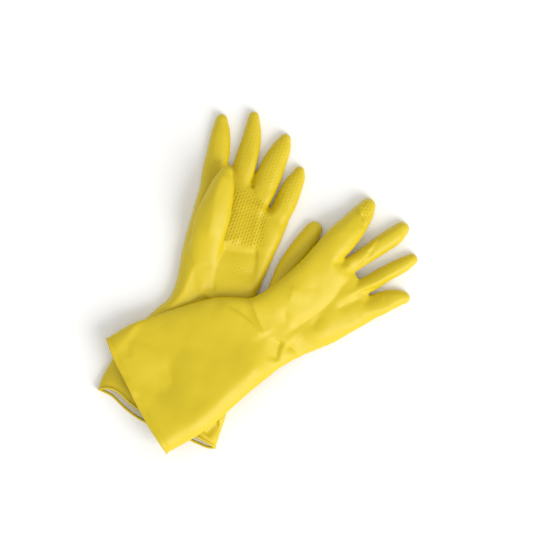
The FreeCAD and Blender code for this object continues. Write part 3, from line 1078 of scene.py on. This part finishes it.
LEFT_GLOVE = Glove(
    side="left",
    place=Placement(-100.69, -134.92, 72),
    hand=Hand(
        left=((-63.6, 0), (-64.4, 18.3), (-63.2, 26.6), (-59.6, 43.5), (-40.5, 91.4), (-32, 106.5),
              (-24.6, 115.5), (-22.9, 132.2), (-24.9, 148), (-27.6, 165.7), (-28.6, 183.7), (-29.5, 207.9),
              (-30.4, 236.4), (-31, 280)),
        right=((63.4, -10), (63.8, 15), (63.4, 28), (62.3, 60), (58.6, 120), (56.4, 149.6), (57.6, 162.4),
               (60.6, 191.1), (62.2, 205), (63.4, 222), (63, 240), (58, 260)),
        heights=((0, 0.1, 13, 0), (35, 0.1, 12, 0), (75, 0.1, 11.6, 0), (112, 0.1, 12, 0),
                 (141, 0.1, 14, 0), (167, 0.1, 17, 0), (205, 0.1, 16.5, 0), (250, 0.1, 14.5, 0)),
        end=((-40, 262), (-9, 260), (19.5, 246), (41.1, 231.5), (70, 222)),
        sharpness=7,
    ),
    fingers=[
        Digit("index", ((-16, 222, 0.1, 11, 6), (-22, 246, 0.1, 10.8, 6.2),
                        (-23.1, 266, 0.1, 11.4, 6.2), (-27.1, 287, 0.1, 9.4, 5.6),
                        (-30.2, 299.4, 0.1, 5.8, 4.6)), 35.8, 47.8, 9),
        Digit("middle", ((8, 226, 0.1, 10.5, 6), (5.6, 258, 0.1, 11.5, 6.2), (3.9, 289, 0.1, 9.6, 6),
                         (0.7, 305, 0.1, 7, 5.2), (-1.1, 312.2, 0.1, 5.2, 4.4)), 35.4, 46.8, 9),
        Digit("ring", ((28, 220, 0.1, 10.5, 6), (30.4, 252, 0.1, 12.8, 6.6), (32.2, 275, 0.1, 11.8, 6.4),
                       (34.5, 293, 0.1, 9, 5.6), (35, 300.4, 0.1, 5.8, 4.6)), 32.6, 44.8, 9),
        Digit("little", ((48, 206, 0.1, 10, 6), (54.2, 238, 0.1, 11.2, 6.2), (56.2, 256, 0.1, 10.2, 6),
                         (58.2, 269, 0.1, 7.8, 5.2), (58.2, 274.8, 0.1, 5.2, 4.4)), 23, 32.8, 8),
    ],
    thumb=Digit("thumb", ((4, 136, 4, 11, 4), (-4, 162, 9, 14, 5), (-7.4, 184, 15, 16.4, 6),
                          (-8.5, 208, 19.2, 16.8, 6), (-8.5, 227, 19.2, 13.9, 6),
                          (-8.9, 241, 19, 11, 5.6), (-9.3, 250.6, 18.9, 7, 4.6)), 42.6, 52, 8),
    folds=[
        Fold(((-5.7, 168), (-12, 152), (-13.5, 138), (-15.3, 124.5), (-21.8, 110), (-30, 96)), 4.1,
             7, 14, 1.2, (0.25, 0.3)),
        Fold(((2, 137), (9, 137.4), (17, 140.5)), -2.5, 5, 4),
        Fold(((4, 134.7), (11.3, 131.5), (17.5, 129)), 2.2, 4, 4),
        Fold(((2, 133), (9.4, 127.2), (16.6, 126.6)), -2.9, 4, 6),
        Fold(((1.5, 162.5), (1.2, 156)), -1.6, 2.5, 2.5),
        Fold(((7, 183.6), (14, 179.6), (27.8, 181.2), (45, 186)), -3.1, 9, 12, 0.9, (0.2, 0.1)),
        Fold(((9, 182), (14, 187.4), (20, 190.6), (26, 190)), 1.3, 3, 3),
        Fold(((17, 196), (23.1, 190.6)), 0.9, 2.5, 2.5),
        Fold(((36, 232), (38.3, 213.5), (41.4, 199.4), (43.8, 186), (45, 172), (44.6, 150)), -4.6,
             9, 15, 1.6, (0.15, 0.2)),
        Fold(((32, 238), (34, 215), (37, 198), (39, 184)), 2.6, 34, 5, 1.2, (0.2, 0.15)),
        Fold(((36.6, 230.6), (40, 230.4), (43, 235), (44.4, 246)), -4, 2, 3, 0.6, (0.1, 0.35)),
        Fold(((35, 234), (38.4, 240), (41, 250)), 1.6, 3, 2),
        Fold(((19.7, 243.7), (17.2, 246.3), (19.7, 248.9), (22.2, 246.3), (19.7, 243.7)), 1.5, 0.9, 0.9, 0.5,
             (0, 0)),
        Fold(((37.6, 229.6), (40.4, 230.2), (42.4, 232.6), (43.6, 238), (44.4, 252)), -3.4, 1.6, 2.6, 0.4,
             (0.1, 0.1)),
        Fold(((12, 290), (14.7, 267), (18.4, 249)), 1.4, 5, 2.5),
        Fold(((-2, 300), (0.6, 284), (2.4, 262)), -0.9, 5, 4),
        Fold(((56, 26), (60, 20), (62, 13)), 2.9, 3, 4),
        Fold(((60, 14), (55.8, 11), (50.8, 0)), -4.3, 4, 4, 1, (0.1, 0.1)),
    ],
    thumb_folds=[
        Fold(((-11.8, 253), (-13, 238), (-12.6, 226), (-8.6, 204), (-7, 178)), 2.9, 12, 9, 1,
             (0.1, 0.2)),
        Fold(((-17, 246), (-20.8, 230), (-21.6, 210), (-19, 190)), -1.1, 3, 5),
        Fold(((4.4, 226), (2.6, 212), (0, 196)), -0.7, 3, 4),
    ],
    dimples=[Dimple(19.7, 246.3, 2.4, 1.5), Dimple(46.3, 235, -1.6, 3.6), Dimple(45.9, 228, -1, 3),
             Dimple(-8, 243, 3, 12), Dimple(-8, 220, 3, 14)],
    mouth=Mouth(upper=((-70, 11), (-63, 11.4), (-55, 14.6), (-47, 15), (-37.6, 11.4), (-27.3, 6.5),
                       (0, 0), (30, -2), (46, -4.2), (62, -7.8), (72, -9)),
                lower=((-70, 9.4), (-63, 10), (-56.7, 9.4), (-48.6, 8), (-35.6, 1.6), (-23.2, -3.2),
                       (-8.4, -6.4), (20, -7.6), (48, -10.6), (57.3, -11.2), (62.3, -9.4), (72, -9)),
                middle_z=6.2, half_z=4.5),
    grid=Grid(-74, 76, -22, 322, -2.4, 36),
    seed=11,
    root="left_glove",
    holder="left_glove",
    thumb_heights=(17.6, 99),
    film_nodes=("left_hand_shell",),
    lining_nodes=("left_flock_lining",),
    fillet=(176, 196),
    grip=(
        GripPatch(((-6, 236), (10, 244), (33, 240), (46, 226), (50, 191), (12.5, 181)), 1),
        GripPatch(((13, 177), (48, 184), (52, 152), (22, 150)), 0.62, soft=14),
        GripPatch(((24, 250), (42, 250), (44, 304), (24, 304)), 0.7, soft=5),
        GripPatch(((44, 236), (66, 236), (66, 280), (48, 280)), 0.7, soft=5),
        GripPatch(((-6, 254), (14, 254), (12, 318), (-8, 318)), 0.6, soft=5),
        GripPatch(((-36, 254), (-12, 254), (-18, 306), (-38, 306)), 0.55, soft=5),
    ),
    grip_bearing=-2,
)

RIGHT_GLOVE = Glove(
    side="right",
    place=Placement(-120.29, -110.42, 32),
    hand=Hand(
        left=((-62.3, 5.3), (-61.4, 33.1), (-54.8, 62.4), (-47.6, 92), (-40.3, 115.9), (-29.9, 132.5),
              (-20.4, 144.8), (-19.2, 157), (-20.6, 178.7), (-25.2, 204.7), (-33.7, 235.4), (-37, 250),
              (-37, 266)),
        right=((64, -5.3), (65, 11.1), (65.8, 28), (64.6, 47), (61.4, 67), (58.6, 83), (56, 100),
               (52, 134), (54, 158.6), (59.8, 190.6), (60.6, 214), (61, 236), (58, 262)),
        heights=((0, 14.4, 12, 0), (35, 13.6, 12, 0), (65, 13.2, 11.6, 0), (95, 13.6, 10.4, 1),
                 (133, 14, 11.5, 5), (151, 10.6, 12.5, 9.6), (175, 8.8, 14.5, 10),
                 (205, 8, 15, 9.8), (238, 8, 13.5, 8.6), (260, 8, 12, 7.4)),
        end=((-50, 262), (-20, 254), (-3.7, 242.5), (11.5, 244.5), (38.4, 244.5), (70, 246)),
    ),
    fingers=[
        Digit("index", ((-16, 226, 12.5, 13, 6), (-22.4, 250, 11, 14.8, 6.4),
                        (-27.6, 269, 6.6, 13, 6.2), (-33.2, 284, 2.4, 10.2, 6),
                        (-36.6, 291, 1, 7.4, 5.4)), 27.8, 40, 9),
        Digit("middle", ((3, 228, 10, 8, 5.8), (3.7, 252, 6.6, 8.4, 6), (3.1, 276, 2, 9.2, 6.2),
                         (2.2, 297, 0.6, 9.2, 5.8), (0.4, 307, 0.4, 7.2, 5)), 31, 43, 9),
        Digit("ring", ((27, 226, 7, 8.4, 5.8), (29, 254, 2.8, 8.6, 6), (29.6, 273, 1, 8.2, 6),
                       (30.8, 290, 0.5, 7.5, 5.6), (31, 299.6, 0.4, 5.8, 4.8)), 26.6, 38, 8),
        Digit("little", ((45, 222, 4, 9.6, 5.8), (50.6, 246, 1.2, 11.4, 6.2), (53.2, 260, 0.7, 10.2, 6),
                         (57, 270, 0.5, 8, 5.4), (58.6, 272.6, 0.4, 6.4, 5)), 17.4, 28, 7),
    ],
    thumb=Digit("thumb", ((6, 152, 14, 8, 3.6), (-8, 167, 8, 10, 4.8), (-18.5, 180, 1.6, 10.8, 5.2),
                          (-27.5, 195, 0.5, 11.2, 5.2), (-37, 217, 0.4, 11, 5.2),
                          (-44.8, 233.4, 0.4, 8.4, 4.8)), 42.6, 52.6, 7),
    folds=[
        Fold(((-60, 36), (-42, 41.5), (-22, 47), (-6, 43), (3, 29), (14.4, 6)), -4.2, 34, 26,
             2.5, (0.1, 0.25)),
        Fold(((-1, 46), (7, 27), (16, 2)), -3, 34, 34, 2.5, (0.3, 0)),
        Fold(((-47.7, 43.6), (-17, 60.7), (2, 64)), -1.3, 5, 8, 1.5),
        Fold(((53, -4), (52, 38), (46, 72), (40, 104), (35, 135)), 6, 40, 19, 4,
             (0, 0.2)),
        Fold(((-38, 116), (-24.2, 121.2), (-15.3, 126.2), (-6.2, 130), (4.3, 133), (19.2, 136.2)), 2, 2.2,
             9, 0.5, (0.2, 0.15)),
        Fold(((-30, 121), (-14, 129.6), (4, 135.6), (17, 137.8)), -1.8, 4, 2, 0.6, (0.3, 0.1)),
        Fold(((-22, 145.6), (-12.2, 143.4), (-0.4, 140.8), (10, 139.1), (18.6, 137.5)), 2.7, 5, 3, 0.6,
             (0.15, 0.15)),
        Fold(((-10, 188.5), (-2.7, 181.5), (3.4, 172.9)), 1.4, 4, 5, 0.8),
        Fold(((4.1, 169.6), (13.8, 163.5), (24.3, 158.9)), -1.1, 3, 4, 0.6),
        Fold(((30.2, 148.5), (33.8, 143.4), (38.4, 138.6), (45.5, 132)), -3.4, 5, 5, 0.8, (0.1, 0.25)),
        Fold(((31.8, 150), (41.5, 140.8), (49, 134.8)), 1.4, 3, 4, 0.8),
        Fold(((36, 151.2), (44.7, 154.7), (54, 160.5)), -3.4, 7, 3, 0.5, (0.2, 0)),
        Fold(((35.1, 160.8), (47.4, 171.3), (57.4, 184.2)), -1.3, 6, 6, 2, (0.3, 0)),
        Fold(((27.8, 197.8), (32.7, 185.6), (39.5, 178.4)), -1.6, 5, 5, 1),
        Fold(((10.7, 247), (14.6, 237), (17, 226), (23.2, 212.3), (26.9, 193.7), (27.3, 179),
              (28, 150)), -4.6, 26, 9, 0.5, (0, 0.2)),
        Fold(((-2.9, 187.4), (1.9, 199.7), (9.7, 209.2)), -0.9, 5, 5, 2),
        Fold(((-8, 231), (-4.8, 236), (-4, 241.3)), -2.3, 2.2, 2.6, 0.7, (0.3, 0.1)),
        Fold(((-5, 240), (-1, 241.6), (3, 244)), -1.8, 2.2, 2.4, 0.7),
        Fold(((25, 216), (26.2, 226.3), (29.8, 241.2), (32, 262), (33, 290)), 2.3, 6, 3, 0.8),
        Fold(((29.8, 230), (32.8, 246.1), (36.9, 258)), -1.6, 2, 2.6, 0.7),
        Fold(((31.5, 208), (34.3, 217), (35.6, 230.9), (37.4, 238.7), (39.7, 246)), -3.2, 3, 5, 0.6,
             (0.3, 0)),
        Fold(((48, 206), (47.6, 218), (50, 232)), -1.1, 6, 6, 2),
        Fold(((44, 257.2), (52.4, 255.5), (60, 253.5)), -0.9, 3, 4, 1),
        Fold(((-43, 279.2), (-34.5, 279), (-28.1, 278.6), (-21, 278.8)), 4, 16, 6, 1.2, (0.05, 0.1),
             FoldKind.STEP),
        Fold(((-32, 279), (-27, 284), (-27, 292)), -1.8, 5, 2.5, 0.8, (0.1, 0.3)),
        Fold(((-6, 262), (-3.7, 275), (-2.4, 290), (-2, 306)), 1.4, 2.6, 12, 0.8, (0.4, 0.1)),
        Fold(((10.2, 262), (10.4, 254), (10.6, 246)), -1.1, 4, 3, 1),
        Fold(((-23, -0.8), (-8, -0.6), (4.5, 1.5)), 1.6, 2.5, 4, 0.8),
        Fold(((-46, 17.4), (-34, 14)), -0.9, 3, 3, 0.8),
    ],
    thumb_folds=[],
    dimples=[Dimple(3.4, 267.4, 0.8, 3.6), Dimple(24, 60, -0.8, 22),
             Dimple(-23.8, 254.1, 0.35, 3.5), Dimple(-27.4, 266.6, 0.4, 4)],
    mouth=Mouth(upper=((-72, 5.4), (-62.4, 5), (-41.5, 1), (-14.1, -1.2), (4.4, -3.3), (27.9, -4.7),
                       (46.9, -4.6), (64.4, -4.4), (72, -4.4)),
                lower=((-72, 5), (-62.8, 4.6), (-41.5, 2), (-14.1, 0), (4.4, -2), (27.9, -3.8),
                       (46.9, -4.4), (64.4, -5), (72, -5)),
                middle_z=19, half_z=3.6),
    grid=Grid(-76, 80, -22, 324, -2.4, 36),
    seed=23,
    root="right_gauntlet",
    holder="right_hand",
    thumb_heights=(-9, 12.2),
    film_nodes=("right_gauntlet", "right_hand_shell"),
    lining_nodes=("right_gauntlet_lining", "right_hand_lining"),
    fillet=(171, 186),
    grip=(
        GripPatch(((-46, 281), (-22, 281), (-22, 300), (-46, 300)), 0.8, soft=3),
    ),
    grip_bearing=24,
    wrist=((13, 138, 17), (19, 164, 17)),
)


# --- The set ------------------------------------------------------------------------------------------------


@dataclass(frozen=True)
class Studio:
    """The pale floor, the soft light and the camera that looks straight down."""

    floor_size: float = 6.0
    lens: float = 200.0
    sensor: float = 36.0
    view_width: float = 0.5223
    aim: tuple[float, float] = (0.00715, 0.01506)
    aim_height: float = 0.015
    floor_colour: tuple[float, float, float] = (0.955, 0.953, 0.95)
    room_colour: tuple[float, float, float] = (1.0, 0.998, 0.99)
    room_light: float = 0.75     # what the room gives to matt surfaces
    room_gloss: float = 0.05     # and what shows of it in gloss, as in a dim room with one bright window
    window: tuple[float, float, float] = (2.2, -2.2, 2.3)
    window_size: float = 2.6
    window_power: float = 108.0
    window_colour: tuple[float, float, float] = (1.0, 0.995, 0.98)

    def build(self) -> None:
        """Set everything up."""
        half = self.floor_size / 2
        corners = np.array([(-half, -half, 0), (half, -half, 0), (half, half, 0), (-half, half, 0)])
        floor = new_object("floor", mesh_from("floor", corners, [(0, 1, 2, 3)]))
        paper = bpy.data.materials.new("pale_floor")
        paper.use_nodes = True
        shader = paper.node_tree.nodes["Principled BSDF"]
        shader.inputs["Base Color"].default_value = (*self.floor_colour, 1.0)
        shader.inputs["Roughness"].default_value = 0.9
        shader.inputs["Specular IOR Level"].default_value = 0.1
        floor.data.materials.append(paper)
        world = bpy.data.worlds.new("soft_room")
        world.use_nodes = True
        build = NodeTree(world.node_tree)
        rays = build.node("ShaderNodeLightPath")
        strength = build.node("ShaderNodeMapRange")
        strength.inputs["To Min"].default_value = self.room_light
        strength.inputs["To Max"].default_value = self.room_gloss
        room = build.node("ShaderNodeBackground", Color=(*self.room_colour, 1.0))
        out = build.node("ShaderNodeOutputWorld")
        build.link(rays.outputs["Is Glossy Ray"], strength.inputs["Value"])
        build.link(strength.outputs["Result"], room.inputs["Strength"])
        build.link(room.outputs["Background"], out.inputs["Surface"])
        bpy.context.scene.world = world
        self.lamp()
        self.camera()

    def lamp(self) -> None:
        """Hang the one soft lamp, which faces the gloves."""
        data = bpy.data.lights.new("window", "AREA")
        data.shape = "DISK"
        data.size = self.window_size
        data.energy = self.window_power
        data.color = self.window_colour
        lamp = new_object("window", data)
        lamp.location = self.window
        lamp.rotation_euler = (-Vector(self.window)).to_track_quat("-Z", "Y").to_euler()

    def camera(self) -> None:
        """Hang the camera straight above."""
        data = bpy.data.cameras.new("overhead")
        data.lens = self.lens
        data.sensor_width = self.sensor
        camera = new_object("overhead", data)
        height = self.view_width * self.lens / self.sensor
        camera.location = (*self.aim, height + self.aim_height)
        bpy.context.scene.camera = camera


def main() -> None:
    """Build the gloves and the set."""
    logging.basicConfig(level=logging.INFO, format="%(name)s: %(message)s")
    bpy.context.scene.view_settings.view_transform = "Standard"
    mottle = mottle_group()
    rubber, flock = RUBBER.make(mottle), FLOCKING.make(mottle)
    lozenges = GripTree()
    for glove in (LEFT_GLOVE, RIGHT_GLOVE):
        glove.build(rubber, flock, lozenges)
    Studio().build()


def write_size() -> None:
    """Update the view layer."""
    bpy.context.view_layer.update()


if __name__ == "__main__":
    main()
    write_size()
